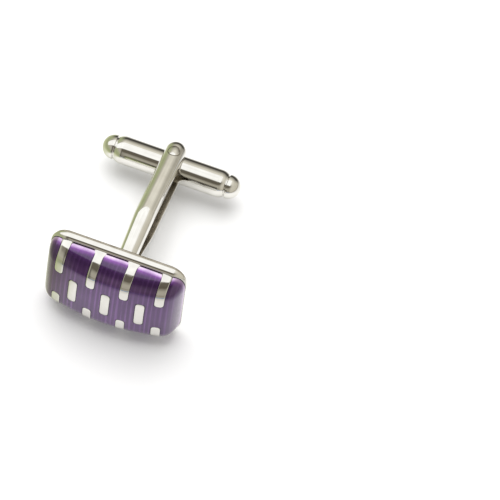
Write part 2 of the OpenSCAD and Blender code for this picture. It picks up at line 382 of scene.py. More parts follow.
# %% [markdown]
# ## A rim that sinks
# Along the two long sides the rim is level. At the two short ends the glass comes down
# almost to the plate, and the rim sinks with it. A step between two levels would show, so
# the rim's level is a soft curve of the distance from the middle of the face.

# %% Level of the rim
end_dip, dip_start = 0.72 * mm, half_width - outer_corner


def rim_at(u):
    """Level of the rim's top at a distance u from the middle of the face."""
    share = np.clip((np.abs(u) - dip_start) / (half_width - dip_start), 0, 1)
    return rim_level - end_dip * share**2 * (3 - 2 * share)


print("at the short ends the rim lies at", round(float(rim_at(half_width)) / mm, 2), "mm")

# %% [markdown]
# ## The ribbed ground
# Violet glass is melted over a ground that was engraved with fine upright ribs, then
# ground smooth and polished. Light passes through the glass and comes back from the ribs
# in violet. Ribs of real geometry would lie hidden under the skin of the glass, so they
# are a wave in the material. A slow noise sways the wave and another fades it, because no
# two ribs shine alike.

# %% Ribs
rib_pitch = 0.66 * mm
rib_sway = 0.9 * rib_pitch


def ribbed_ground(net, across, deep, lit, rib_share):
    """Colour of the ground from a value across the face, and the wave of its ribs."""
    sway = computed(net, "MULTIPLY", noise(net, 0.9 / mm, 0.04 / mm, 0.04 / mm), rib_sway)
    turn = computed(net, "MULTIPLY", computed(net, "ADD", across, sway), 2 * pi / rib_pitch)
    wave = computed(net, "SINE", turn, 0.0)
    crest = mapped(net, wave, 0.0, 1.0, 0, 1)
    fade = mapped(net, noise(net, 0.8 / mm, 0.1 / mm, 0.1 / mm), 0.38, 0.66, 0.1, 1)
    lines = computed(net, "MULTIPLY", computed(net, "MULTIPLY", crest, fade), rib_share)
    clouds = mapped(net, noise(net, 0.25 / mm, 0.25 / mm, 0.25 / mm), 0.3, 0.7, 0, 0.25)
    return mixed(net, computed(net, "ADD", lines, clouds), deep, lit), wave


print("there are about", round(2 * half_width / rib_pitch), "ribs across the face")

# %% [markdown]
# ## Zones of the glass
# How much glass the eye looks through depends on the level over the rim. Where the dome
# rolls over it is the most, and the violet is deepest. Beside the rim a band of lighter
# magenta is partly the shallower glass over the ground and partly a painted highlight of
# the panel overhead; a paler hairline right by the metal is a painted highlight too, and a
# dark seam where the two meet is painted shade. Colours painted on the mesh would be tied
# to its points, so each zone is a pair of levels over the rim: full at the first and gone
# at the second.

# %% Levels of the zones
# the first pair of levels holds painted shade by the seam, the next two painted highlights
painted_seam_shade_zone, hairline_highlight_zone = (0.09 * mm, 0.2 * mm), (0.3 * mm, 0.75 * mm)
rim_highlight_zone, deep_zone = (0.2 * mm, 1.35 * mm), (2.3 * mm, 3.1 * mm)


def face_level(net):
    """The level over the back plate as a node value."""
    place = add_node(net, "TexCoord").outputs["Object"]
    along = add_node(net, "VectorMath", Vector=place)
    along.operation = "DOT_PRODUCT"
    along.inputs[1].default_value = link_axes[1]
    back = float(pivot @ link_axes[1] + face_back)
    return computed(net, "SUBTRACT", back, along.outputs["Value"])


def zone(net, level, limits, share=1.0):
    """A share up to a zone's first level over the rim, which fades to 0 at its second."""
    return mapped(net, level, rim_level + limits[0], rim_level + limits[1], share, 0)


print("the glass is deepest up to", round(deep_zone[0] / mm, 2), "mm over the rim")

# %% [markdown]
# ## Violet enamel
# On top of the ground lies a clear mirror. See-through glass over a second surface could
# show the same, but it takes many more rays. So one skin does it all: a ribbed violet
# base, half metallic, under a clear coat. The painted highlights beside the rim come in
# patches, and less of them at the short ends, where the zones sink with the rim.

# %% Enamel finish
# the seam's colour is painted shade by the rim; the power shapes the painted highlight there
painted_seam_shade, deepest = (0.012, 0.004, 0.018), (0.045, 0.007, 0.085)
deep_share, end_light, rim_highlight_power = 0.6, 0.35, 1.25


def violet_enamel(name, deep, lit, rim_highlight, pale, rib_share, coat):
    """Clear coat on a ribbed violet ground; colours three and four are painted highlights."""
    material, net, shader = new_material(name)
    place = add_node(net, "TexCoord").outputs["Object"]
    across = add_node(net, "SeparateXYZ", Vector=place).outputs["X"]
    ground, wave = ribbed_ground(net, across, deep, lit, rib_share)
    ends = mapped(net, computed(net, "ABSOLUTE", across, 0.0), dip_start, half_width, 0, 1)
    ends.node.interpolation_type = "SMOOTHSTEP"
    level = computed(net, "ADD", face_level(net), computed(net, "MULTIPLY", ends, end_dip))
    ground = mixed(net, zone(net, level, deep_zone, deep_share), ground, deepest)
    # painted highlight beside the rim, in patches and fainter at the short ends
    patches = mapped(net, noise(net, 0.3 / mm, 0.3 / mm, 0.3 / mm), 0.3, 0.65, 0.45, 1)
    patches = computed(net, "MULTIPLY", patches, mapped(net, ends, 0, 1, 1, end_light))
    rim_highlight_share = computed(net, "POWER", zone(net, level, rim_highlight_zone), rim_highlight_power)
    ground = mixed(net, computed(net, "MULTIPLY", rim_highlight_share, patches), ground, rim_highlight)
    hairline_highlight_share = computed(net, "MULTIPLY", zone(net, level, hairline_highlight_zone), patches)
    ground = mixed(net, hairline_highlight_share, ground, pale)
    # painted shade in the seam where glass meets the rim
    ground = mixed(net, zone(net, level, painted_seam_shade_zone), ground, painted_seam_shade)
    net.links.new(ground, shader.inputs["Base Color"])
    rough = mapped(net, noise(net, 4 / mm, 4 / mm, 4 / mm), 0.3, 0.7, 0.3, 0.42)
    net.links.new(rough, shader.inputs["Roughness"])
    bump = add_node(net, "Bump", {"Strength": 0.4, "Distance": 0.02 * mm}, Height=wave)
    net.links.new(bump.outputs[0], shader.inputs["Normal"])
    shader.inputs["Metallic"].default_value = 0.75
    shader.inputs["Coat Weight"].default_value = coat
    shader.inputs["Coat Roughness"].default_value = 0.02
    shader.inputs["Coat IOR"].default_value = 1.62
    return material


print("light by the short ends is", end_light, "of that by the long sides")

# %% Glass, and its colours in the shade of the metal
# colours three and four are painted highlights by the rim
enamel_finish = violet_enamel(
    "violet_enamel_glass", (0.064, 0.013, 0.112), (0.215, 0.09, 0.32), (0.52, 0.13, 0.8),
    (0.95, 0.78, 1.0), 0.8, 1.0,
)
# dark glass colours for the painted shade where glass meets the bars
outline_shade_finish = violet_enamel(
    "enamel_by_the_metal", (0.014, 0.004, 0.022), (0.03, 0.01, 0.05), (0.06, 0.02, 0.09),
    (0.06, 0.02, 0.09), 0.3, 0.25,
)
print("made", enamel_finish.name, "and", outline_shade_finish.name)

# %% [markdown]
# ## The enamel's body
# One closed skin: a net of points over the crown, rings that follow the rolled edge down
# to upright, a wall that goes down nearly to the plate, and a flat underside. Rings are
# placed by the angle of the roll and not by their distance, so the mirror of the clear
# coat bends evenly. The net takes as many steps along a side as the line round it, so that
# the points of both meet.

# %% Building the enamel
roll_steps, wall_steps = 18, 4
floor_gap = 0.05 * mm
grid_x = np.linspace(-inner_x, inner_x, side_steps + 1) / stretch
grid_z = np.linspace(-inner_z, inner_z, side_steps + 1)
crown_u, crown_v = np.meshgrid(grid_x, grid_z)
crown = on_face(crown_u, crown_v, dome(crown_u, crown_v)[0]).reshape(-1, 3)
crown_skin = (list(crown), net_faces(side_steps + 1, side_steps + 1))
corner_nodes, corner_ways = around(inner_x, inner_z, 0.0)
rings = []
for roll in np.linspace(0, pi / 2, roll_steps):
    edge = (corner_nodes + roll_radius * sin(roll) * corner_ways) / (stretch, 1)
    rings.append(on_face(edge[:, 0], edge[:, 1], dome(edge[:, 0], edge[:, 1])[0]))
edge_level = face_back - rings[-1][:, 1]
glass_floor = plate_level + floor_gap
for share in np.linspace(0, 1, wall_steps + 1)[1:]:
    level = edge_level + (glass_floor - edge_level) * share
    rings.append(on_face(edge[:, 0], edge[:, 1], level))
columns = len(corner_nodes)
ring_faces = net_faces(len(rings), columns, closed=True)
ring_faces.append(tuple((len(rings) - 1) * columns + c for c in range(columns)))
ring_skin = ([p for ring in rings for p in ring], ring_faces)
make_piece(
    "enamel_dome", *joined([crown_skin, ring_skin]), enamel_finish, "link", "violet_enamel",
    "enamel_field",
)

# %% [markdown]
# ## The rim
# The cast frame shows as a polished wall with a rounded bead on top that holds the glass.
# A bevelled box would have the same round on all its edges, so a profile is swept round
# the face instead: up the inner side, over the bead, down the outer wall and back under.
# This keeps the bead's highlight one clean line all the way round. At the short ends the
# whole profile is pressed lower, down to the rim's level there.

# %% Arcs for profiles
def arc(centre, radius, start, end, steps, tall=1.0):
    """Points on an arc as (across, up), angles from outwards in degrees; tall heightens it."""
    angles = np.radians(np.linspace(start, end, steps + 1))
    return [(centre[0] + radius * cos(a), centre[1] + radius * tall * sin(a)) for a in angles]


print("a quarter arc of four steps has", len(arc((0, 0), mm, 0, 90, 4)), "points")

# %% Rim profile, swept round the face
outer_round, inner_round, foot_round = 0.42 * mm, 0.1 * mm, 0.07 * mm
outer_drop = 0.68 * mm
rim_width = half_width - field_x
rim_profile = [(0, plate_level), (0, seat_level)]
rim_profile += arc((inner_round, rim_level - inner_round), inner_round, 180, 90, 5)
rim_profile += arc(
    (rim_width - outer_round, rim_level - outer_drop), outer_round, 90, 0, 12,
    outer_drop / outer_round,
)
rim_profile += arc((rim_width - foot_round, plate_level + foot_round), foot_round, 0, -90, 4)
inner_line = around(inner_x, inner_z, roll_radius)[0] / (stretch, 1)
outer_line = around(half_width - outer_corner, half_height - outer_corner, outer_corner)[0]
pressed = (rim_at(outer_line[:, 0]) - plate_level) / (rim_level - plate_level)
rim_rows = []
for across, level in rim_profile:
    line = inner_line + (outer_line - inner_line) * (across / rim_width)
    rim_rows.append(on_face(line[:, 0], line[:, 1], plate_level + (level - plate_level) * pressed))
rim_rows.append(rim_rows[0])
rim_skin = ([p for row in rim_rows for p in row], net_faces(len(rim_rows), columns, closed=True))
print("the rim is", round(rim_width / mm, 2), "mm wide with", len(rim_profile), "profile points")

# %% [markdown]
# ## Section of a bar
# Four bars grow from the upper rim and four from the lower one, and three shorter ones lie
# between them. They are part of the casting, polished to soft ridges. Cut out of a second
# dome they would get ragged edges, so each bar is lofted: a section walks along a path
# over the dome. The section is a ridge with a broad top and steep sides. Its underside
# lies below the glass, so no gap can open between the two.

# %% Ridge of a bar
bar_pitch, bar_half = 4.9 * mm, 0.64 * mm
skirt_depth, floor_depth = 0.07 * mm, 0.36 * mm
ridge_power, ridge_points = 4, 17
across_bar = np.sin(np.linspace(-pi / 2, pi / 2, ridge_points))


def ridge(share):
    """Height of a ridge, from 0 at its edges to 1, where share goes from -1 to 1."""
    return (1 - np.minimum(np.abs(share), 1) ** ridge_power) ** (1 / ridge_power)


def bar_row(u, v, level, out, rise, swell=1.0):
    """One closed section of a bar; out is outwards at each point as (along u, along v, up)."""
    base = on_face(u, v, level)
    out = np.stack((out[:, 0], -out[:, 2], out[:, 1]), -1)
    height = (rise + skirt_depth) * ridge(across_bar) * swell - skirt_depth
    top = base + out * height[:, None]
    under = [base[-2] - out[-2] * floor_depth, base[1] - out[1] * floor_depth]
    return np.vstack((top, under))


print("a bar is", round(2 * bar_half / mm, 2), "mm wide and rises", round(bar_rise / mm, 2), "mm")

# %% [markdown]
# ## Bars over the dome
# A short bar is rounded at both ends, where its section shrinks in width and height. A
# long bar has one such end. From there it climbs the dome, rolls over its edge and stops
# at some height above the rim. Where a bar crosses the rounded corner of the glass, its
# outer edge rolls over earlier, and `over` is how far that edge lies beyond the ball's
# straight run.

# %% Lofting a short bar
row_half = 2.25 * mm
end_length, end_power = 0.62 * mm, 0.6
end_turns = np.linspace(0.04, 1, 9) * pi / 2
short_steps = 11


def short_bar(centre, extra, rise):
    """A skin for a short bar of the middle row; extra widens it all round."""
    half, reach = bar_half + extra, row_half + extra
    ends = [(reach - end_length * (1 - cos(turn)), sin(turn) ** end_power) for turn in end_turns]
    middle = np.linspace(end_length - reach, reach - end_length, short_steps)[1:-1]
    steps = [(-v, swell) for v, swell in ends] + [(v, 1.0) for v in middle] + ends[::-1]
    rows = []
    for v, swell in steps:
        u = centre + across_bar * half * swell
        v = np.full_like(u, v)
        rows.append(bar_row(u, v, *dome(u, v), rise, swell))
    return capped_tube(rows)


print("the middle row is", round(2 * row_half / mm, 2), "mm high")

# %% Lofting a long bar over the dome
climb_steps, over_steps, roll_trials = 7, 17, 200


def roll_to(u, level):
    """How far the edge of the dome has rolled where it has come down to a level."""
    turns = np.linspace(0, pi / 2, roll_trials)
    return turns[np.argmin(abs(dome(u, inner_z + roll_radius * np.sin(turns))[0] - level))]


def bar_over_dome(centre, side, extra, rise, above_rim):
    """Sections of a long bar down to a height above the rim, and the place of the last."""
    half = bar_half + extra
    start = row_half - extra
    rows = []
    for turn in end_turns:
        swell = sin(turn) ** end_power
        u = centre + across_bar * half * swell
        v = np.full_like(u, side * (start + end_length * (1 - cos(turn))))
        rows.append(bar_row(u, v, *dome(u, v), rise, swell))
    u = centre + across_bar * half
    for share in np.linspace(0, 1, climb_steps)[1:]:
        v = side * (start + end_length + (inner_z - start - end_length) * share)
        v = np.full_like(u, v)
        rows.append(bar_row(u, v, *dome(u, v), rise))
    over = np.maximum(np.abs(u) * stretch - inner_x, 0)
    last_roll = roll_to(centre, rim_at(centre) + above_rim)
    for roll in np.linspace(0, last_roll, over_steps)[1:]:
        v = side * (inner_z + sin(roll) * np.sqrt(roll_radius**2 - over**2))
        rows.append(bar_row(u, v, *dome(u, v), rise))
    return rows, u, v


end_roll_turn = degrees(roll_to(0, rim_at(0)))
print("the edge has rolled", round(end_roll_turn), "degrees where it comes down to the rim")

# %% [markdown]
# ## Roots of the long bars
# The casting flows from the rim into each long bar. The dome falls away steeply there, so
# a bar that simply ended would hang in the air. It leaves the dome in the direction in
# which it came, and a curve bends it out on the rim. The curve's middle corner is where
# that direction meets the level of the rim. On the way the bar widens and sinks into the
# rim, as a fillet does, and it is kept from spreading far into the face's rounded corners.

# %% Lofting the roots
root_rise, root_reach = 0.85 * mm, 0.05 * mm
root_flare, flare_power = 0.45 * mm, 1.3
past_corner = 0.75 * mm
root_end = half_width - outer_corner + past_corner
root_steps = 10


def root_rows(u, v, rise):
    """Sections of a bar's root, from its last place on the dome to the rim."""
    level, out = dome(u, v)
    flat = np.linalg.norm(out[:, :2], axis=1)
    ahead = out[:, :2] / flat[:, None]
    drop = level - rim_at(u)
    advance = drop * out[:, 2] / flat
    rows = []
    for share in np.linspace(0, 1, root_steps)[1:]:
        onward = 2 * share * (1 - share) * advance + share**2 * (advance + root_reach)
        sink = drop * (1 - (1 - share) ** 2)
        lean_up = advance * (1 - share) + root_reach * share
        lean_out = drop * (1 - share)
        lean = np.stack((ahead[:, 0] * lean_out, ahead[:, 1] * lean_out, lean_up), -1)
        lean /= np.linalg.norm(lean, axis=1, keepdims=True)
        spread = np.clip(u + across_bar * root_flare * share**flare_power, -root_end, root_end)
        root_u, root_v = spread + ahead[:, 0] * onward, v + ahead[:, 1] * onward
        rows.append(bar_row(root_u, root_v, level - sink, lean, rise * (1 - share)))
    return rows


def long_bar(centre, side):
    """A skin for a long bar with its root; side is 1 for the upper rim and -1 for the lower."""
    rows, u, v = bar_over_dome(centre, side, 0.0, bar_rise, root_rise)
    return capped_tube(rows + root_rows(u, v, bar_rise))


print("a root starts", round(root_rise / mm, 2), "mm above the rim")

# %% [markdown]
# ## The frame as one casting
# Rim and bars were cast in one piece, so they are one piece here too. Where glass meets
# the bars, the real face shows a fine dark line of shade. In the enamel's material such a
# line would have to know where every bar is. The same loft, a little wider and hardly
# raised, follows them by itself and carries this painted shade in dark glass colours.

# %% Rim and bars
long_places = [(number - 1.5) * bar_pitch for number in range(4)]
short_places = [(number - 1) * bar_pitch for number in range(3)]
bars = [long_bar(u, side) for side in (1, -1) for u in long_places]
bars += [short_bar(u, 0.0, bar_rise) for u in short_places]
make_piece(
    "face_frame_plated", *joined([rim_skin, *bars]), bright_plating, "link", "polished_metal",
    "face_frame",
)

# %% Painted shade where glass meets the bars
line_width, line_rise, line_end = 0.2 * mm, 0.014 * mm, root_rise / 3
lines = []
for side in (1, -1):
    for u in long_places:
        rows = bar_over_dome(u, side, line_width, line_rise, line_end)[0]
        lines.append(capped_tube(rows))
lines += [short_bar(u, line_width, line_rise) for u in short_places]
make_piece("enamel_outlines", *joined(lines), outline_shade_finish, "link", "violet_enamel")

# %% [markdown]
# ## The back plate
# A flat stamped plate closes the frame. Its edge is tumbled round, and a dark, dull
# brownish colour on it is a painted reflection of the dark room behind, which shows as a
# dark line round the face. A bevelled box would do, but its corners have to follow the
# frame's, so it is swept like the rim. Its two flat sides are single faces. Whatever
# doesn't lie flat gets this dull, painted dark finish of its own.

# %% Back plate
plate_inset = half_width - plate_high[0]
plate_round = 0.2 * mm
plate_corner = outer_corner - plate_inset
plate_x, plate_z = plate_high[0] - plate_corner, plate_high[2] - plate_corner
plate_profile = arc((-plate_round, plate_level - plate_round), plate_round, 90, 0, 4)
plate_profile += arc((-plate_round, plate_round), plate_round, 0, -90, 4)
plate_rows = []
for across, level in plate_profile:
    line = around(plate_x, plate_z, plate_corner + across)[0]
    plate_rows.append(on_face(line[:, 0], line[:, 1], level))
plate = make_piece(
    "back_plate_plated", *capped_tube(plate_rows), bright_plating, "link", "polished_metal",
    "back_plate",
)

# %% Dull edge of the plate, with a painted dark reflection
lies_flat = 0.99
dull_painted_dark = plating("dull_painted_dark_plating", (0.48, 0.44, 0.37), (0.3, 0.265, 0.21), 0.22, 0.4, 0.01 * mm)
plate.data.materials.append(dull_painted_dark)
# faces of the rounded edge get the painted dark reflection
for face in plate.data.polygons:
    if abs(np.array(face.normal) @ link_axes[1]) < lies_flat:
        face.material_index = 1
print("dull faces on the plate:", sum(face.material_index for face in plate.data.polygons))

# %% [markdown]
# ## The post
# Two half-round arms hold the swivel bar between them and come together in a round foot. A
# cylinder that is cut in two would have sharp edges, and these were softened by polishing.
# So each arm is a loft of a half-round section with rounded corners. The sizes that the
# solids can't tell, such as the bend, are the ones that the post was designed with.

# %% Sizes of the post
fork_low, fork_high = own_box("post_fork")
arm_radius = fork_high[0]
half_gap = fork_high[2] - arm_radius
tip_start = fork_high[1] - arm_radius
stem_radius, stem_length = 1.3 * mm, 1.4 * mm
straight_run, bend_radius = 10.7 * mm, 4.0 * mm
meet_run = -fork_low[1] - stem_length - straight_run
bend_off = bend_radius - half_gap
bend_angle = np.arcsin(bend_radius / sqrt(meet_run**2 + bend_off**2)) - atan2(bend_off, meet_run)
slope_length = (half_gap - bend_radius * (1 - cos(bend_angle))) / sin(bend_angle)
print("the arms slope by", round(degrees(bend_angle), 1), "degrees")


# %% Section of an arm
def half_round(radius, soft, scale=1.0):
    """Section of an arm as (across, up): a half disc whose two edges are rounded."""
    corner = sqrt((radius - soft) ** 2 - soft**2)
    lift = degrees(atan2(soft, corner))
    points = arc((corner, soft), soft, -90, lift, 5)
    points += arc((0, 0), radius, lift, 180 - lift, 28)[1:]
    points += arc((-corner, soft), soft, 180 - lift, 270, 5)[1:]
    return np.array(points) * scale


arm_soft, stem_soft = 0.16 * mm, 0.03 * mm
print("an arm's section has", len(half_round(arm_radius, arm_soft)), "points")

# %% [markdown]
# ## Path of an arm
# The section walks from the round tip along the straight run, round the bend and down the
# slope. Then it turns back, so that both halves make one round stem. Each step of the path
# says where the section stands along the post and how far from its middle, how it leans,
# and its radius, softness and size. A curve object could carry such a path, but not a
# section that changes its softness on the way.

# %% Path from the tip to the foot
tip_steps, path_steps, turn_steps = 13, 9, 7
turn_back = 0.5 * mm
arm, stem = (arm_radius, arm_soft), (stem_radius, stem_soft)
path = []
for angle in np.linspace(1, 0, tip_steps) * pi / 2:
    path.append((tip_start + arm_radius * sin(angle), half_gap, 0, *arm, cos(angle)))
for share in np.linspace(0, 1, path_steps)[1:]:
    path.append((tip_start - (tip_start + straight_run) * share, half_gap, 0, *arm, 1))
for angle in np.linspace(0, bend_angle, path_steps)[1:]:
    y = -straight_run - bend_radius * sin(angle)
    path.append((y, half_gap - bend_radius * (1 - cos(angle)), angle, *arm, 1))
bend_y, bend_z = path[-1][:2]
for share in np.linspace(0, 1 - turn_back / slope_length, path_steps)[1:]:
    down = slope_length * share
    radius = arm_radius + (stem_radius - arm_radius) * share
    soft = arm_soft + (stem_soft - arm_soft) * share**2
    place = (bend_y - down * cos(bend_angle), bend_z - down * sin(bend_angle))
    path.append((*place, bend_angle, radius, soft, 1))
meet_y = fork_low[1] + stem_length
last_y, last_z = path[-1][:2]
for share in np.linspace(0, 1, turn_steps)[1:]:
    rest = 1 - share
    y = rest**2 * last_y + 2 * share * rest * meet_y + share**2 * (meet_y - turn_back)
    path.append((y, rest**2 * last_z, bend_angle * rest, *stem, 1))
path.append((fork_low[1], 0, 0, *stem, 1))
print("the path has", len(path), "steps")

# %% Lofting the two arms
arms = []
for side in (1, -1):
    rows = []
    for y, z, lean, radius, soft, scale in path:
        section = half_round(radius, soft, max(scale, merge_gap / arm_radius))
        across, up = section[:, 0], section[:, 1]
        rows.append(np.stack((across, y - up * sin(lean), side * (z + up * cos(lean))), -1))
    arms.append(capped_tube(rows))
post = make_piece("post_arms", *joined(arms), bright_plating, "link", "polished_metal", "post_fork")

# %% [markdown]
# ## The slot of the post
# No polishing wheel reaches into the slot between the arms, so its two flat sides are
# duller, and their dark brownish colour is painted shade of the narrow slot, in the
# plate edge's finish. One piece can carry two finishes: a face gets the second one if it
# looks towards the middle of the post.

# %% Dull sides of the slot, with painted shade
looks_inwards = 0.7
post.data.materials.append(dull_painted_dark)
# faces that look into the slot get the painted shade
for face in post.data.polygons:
    above_middle = (np.array(face.center) - pivot) @ pin_way > 0
    facing = np.array(face.normal) @ pin_way
    if facing * (-1 if above_middle else 1) > looks_inwards:
        face.material_index = 1
print("dull faces on the post:", sum(face.material_index for face in post.data.polygons))

# %% [markdown]
# ## Spinning a profile
# The swivel bar and its two balls are turned parts. Each is a profile that is spun round
# an axis, as on a lathe. Blender has a spin tool and a Screw modifier for this, but a
# helper on rows of points is shorter and closes a tube as well as a solid.

# %% Spinning a profile
spin_steps = 96


def spun(profile, closed=False):
    """Points and faces of a profile of (along, radius), spun round x; closed makes a tube."""
    rows = []
    turns = np.linspace(0, 2 * pi, spin_steps, endpoint=False)
    for along, radius in profile:
        line = np.full(spin_steps, along)
        rows.append(np.stack((line, radius * np.cos(turns), radius * np.sin(turns)), -1))
    if closed:
        rows.append(rows[0])
        return [p for row in rows for p in row], net_faces(len(rows), spin_steps, closed=True)
    return capped_tube(rows)


print("turned pieces have", spin_steps, "steps round")

# %% [markdown]
# ## The swivel bar
# The bar is a barrel with rounded shoulders and a ball at each end, and a fine groove runs
# between shoulder and ball. The barrel is a real tube, so the click inside it keeps its
# room. A groove that is only painted on would have no shadow, so it is cut, and small
# rounds at its edges catch the light. The arcs stop a few degrees early to leave room for
# these rounds.

# %% Barrel
barrel_high = own_box("toggle_barrel")[1]
barrel_end, barrel_radius = barrel_high[0], barrel_high[2]
bore_radius = 1.25 * mm
shoulder_length, groove_round = 1.15 * mm, 0.05 * mm
shoulder_stop = 2
shoulder_x = barrel_end - shoulder_length
shoulder_angle = degrees(np.arcsin(shoulder_length / barrel_radius))
end_radius = barrel_radius * cos(radians(shoulder_angle))
right_half = [(x, barrel_radius) for x in np.linspace(0, shoulder_x, 9)[:-1]]
right_half += arc((shoulder_x, 0), barrel_radius, 90, 90 - shoulder_angle + shoulder_stop, 14)
right_half += arc((barrel_end - groove_round, end_radius), groove_round, 50, 0, 3)
right_half += [(barrel_end, bore_radius)]
left_half = [(-x, radius) for x, radius in reversed(right_half)][:-1]
make_piece(
    "toggle_barrel_plated", *spun(left_half + right_half, closed=True), bright_plating,
    "toggle", "polished_metal", "toggle_barrel",
)

# %% Balls at its ends
ball_low, ball_high = own_box("ball_tip_right")
half_bar, ball_radius = ball_high[0], ball_high[2]
neck_radius, groove_width = 1.475 * mm, 0.16 * mm
ball_stop, pole_gap = 3, 0.3
ball_x = half_bar - ball_radius
neck_x = barrel_end + groove_width
edge_turn = degrees(np.arcsin((neck_x - ball_x) / ball_radius))
ball_profile = [(ball_low[0], bore_radius), (barrel_end, bore_radius), (barrel_end, neck_radius)]
ball_profile += [(neck_x, neck_radius), (neck_x, ball_radius - 2 * groove_round)]
ball_profile += arc((ball_x, 0), ball_radius, 90 - edge_turn - ball_stop, pole_gap, 26)
for name, side in (("right", 1), ("left", -1)):
    profile = [(side * x, radius) for x, radius in ball_profile]
    make_piece(
        "ball_tip_plated_" + name, *spun(profile), bright_plating, "toggle",
        "polished_metal", "ball_tip_" + name,
    )

# %% [markdown]
# ## Solder
# Solder fills the corner between foot and plate in a hollow ring. It is duller than the
# plating and a little uneven. A spun profile would be too perfect, so here the profile
# wanders as it goes round, by two slow waves that don't repeat together.

# %% Ring of solder
solder_high = own_box("solder_fillet")[1]
solder_reach = solder_high[0] - stem_radius
solder_steps, wander_depth, hollow_share = 96, 0.09, 0.97
hollow = arc((stem_radius + solder_reach, solder_reach), solder_reach * hollow_share, 180, 270, 10)
solder_rows = []
for radius, height in hollow:
    row = []
    for step in range(solder_steps):
        turn = 2 * pi * step / solder_steps
        wander = 1 - wander_depth * (1 + sin(3 * turn + 1) * cos(5 * turn)) / 2
        out = stem_radius + (radius - stem_radius) * wander
        row.append((out * sin(turn), face_back + height * wander, out * cos(turn)))
    solder_rows.append(np.array(row))
under = solder_rows[-1].copy()
under[:, 1] = face_back
solder_rows.append(under)
solder_finish = plating("solder_skin", (0.72, 0.71, 0.7), (0.5, 0.49, 0.48), 0.16, 0.34, 0.02 * mm)
make_piece(
    "solder_ring", *capped_tube(solder_rows), solder_finish, "link", "solder", "solder_fillet"
)

# %% [markdown]
# ## The pivot pin
# A pin crosses both arms. Its lower end is dressed to the round of the arm, and its upper
# end has stayed a low round head. A short cylinder would stand square to the arm, so the
# pin is rows of rings that follow the arm's outside, lifted to a soft crown. A fine dark
# ring round each end is painted shade of the gap between pin and arm, and shows where the
# pin is.

# %% Pivot pin
pin_high = own_box("pivot_pin")[1]
pin_radius = pin_high[0]
pin_proud = pin_high[2] - half_gap - arm_radius
pin_steps, head_rise = 64, 0.08 * mm
pin_turns = np.linspace(0, 2 * pi, pin_steps, endpoint=False)


def on_arm(radius, side, lift):
    """A ring of points round the pin that follows the outside of an arm."""
    x, y = radius * np.cos(pin_turns), radius * np.sin(pin_turns)
    return np.stack((x, y, side * (half_gap + np.sqrt(arm_radius**2 - x**2) + lift)), -1)


# steps of the crown as (share of the radius, share of the height over the arm)
crown_steps = [(0.02, 1.0), (0.4, 0.9), (0.7, 0.7), (0.88, 0.4), (0.97, 0.05), (1.0, -3.0)]
pin_rows = [on_arm(pin_radius * share, -1, pin_proud * rise) for share, rise in crown_steps]
for share, rise in crown_steps[::-1]:
    pin_rows.append(on_arm(pin_radius * share, 1, pin_proud * rise + head_rise * (1 - share**2)))
make_piece(
    "pivot_pin_plated", *capped_tube(pin_rows), bright_plating, "link", "polished_metal",
    "pivot_pin",
)

# %% Rings of painted shade round its ends
# dark colour for the painted shade of the gap round the pin
pin_gap_shade_finish = plating(
    "pin_gap_painted_shade", (0.3, 0.27, 0.22), (0.16, 0.14, 0.11), 0.35, 0.6, 0.01 * mm
)
# profile of a ring as (share of the pin's radius, height over the arm in mm)
ring_profile = [
    (0.99, -0.05), (0.99, 0.006), (1.02, 0.012), (1.1, 0.012), (1.13, 0.006), (1.13, -0.05)
]
ring_skins = []
for side in (1, -1):
    ring_rows = [on_arm(pin_radius * share, side, rise * mm) for share, rise in ring_profile]
    ring_rows.append(ring_rows[0])
    points = [p for row in ring_rows for p in row]
    ring_skins.append((points, net_faces(len(ring_rows), pin_steps, closed=True)))
make_piece("pin_rings", *joined(ring_skins), pin_gap_shade_finish, "link", "polished_metal")

# %% [markdown]
# ## Springs and plungers
# Inside the bar two springs press two plungers on the flats of the pin. Nothing shows
# them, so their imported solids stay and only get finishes: drawn spring wire and turned
# brass. The solids that other pieces stand for are hidden, but they are plated as well, so
# that no solid is left bare.

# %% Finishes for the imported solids
spring_finish = plating(
    "drawn_spring_wire", (0.62, 0.63, 0.65), (0.42, 0.43, 0.45), 0.22, 0.4, 0.01 * mm
)
brass_finish = plating("turned_brass", (0.86, 0.66, 0.33), (0.7, 0.5, 0.22), 0.14, 0.3, 0.01 * mm)
for node, solid in frame["nodes"].items():
    finish = bright_plating
    if node.startswith("click_spring"):
        finish = spring_finish
    elif node.startswith("click_plunger"):
        finish = brass_finish
    solid.data.materials.clear()
    solid.data.materials.append(finish)
print("finished", len(frame["nodes"]), "packed solids")

# %% [markdown]
# ## Tones of a room
# Polished metal shows the room around it, and this link was photographed in a studio. A
# picture of a room could be wrapped round the scene, but a few tones are enough: some
# along a distance or a height, and one such row of tones for each side of the link. Only
# rays that metal or glass sends on see them.

# %% Helpers for the room's tones
def seen_or_reflected(net):
    """1 for rays of the camera and rays that metal or glass sends on, else 0."""
    path_kind = add_node(net, "LightPath")
    seen = computed(
        net, "MAXIMUM", path_kind.outputs["Is Camera Ray"], path_kind.outputs["Is Glossy Ray"]
    )
    return computed(net, "MAXIMUM", seen, path_kind.outputs["Is Transmission Ray"])


def tone_by(net, value, full, stops):
    """Tones along a value; each stop is (value up to full, colour)."""
    ramp = add_node(net, "ValToRGB", Fac=mapped(net, value, 0, full, 0, 1))
    marks = ramp.color_ramp.elements
    marks.remove(marks[1])
    marks[0].position, marks[0].color = stops[0][0] / full, (*stops[0][1], 1)
    for place, colour in stops[1:]:
        marks.new(place / full).color = (*colour, 1)
    return ramp.outputs["Color"]


# where the tones of one side give way to the next, along the way to the back or right
back_edge, left_edge, right_edge = (-0.15, 0.15), (-0.35, -0.6), (0.5, 0.75)


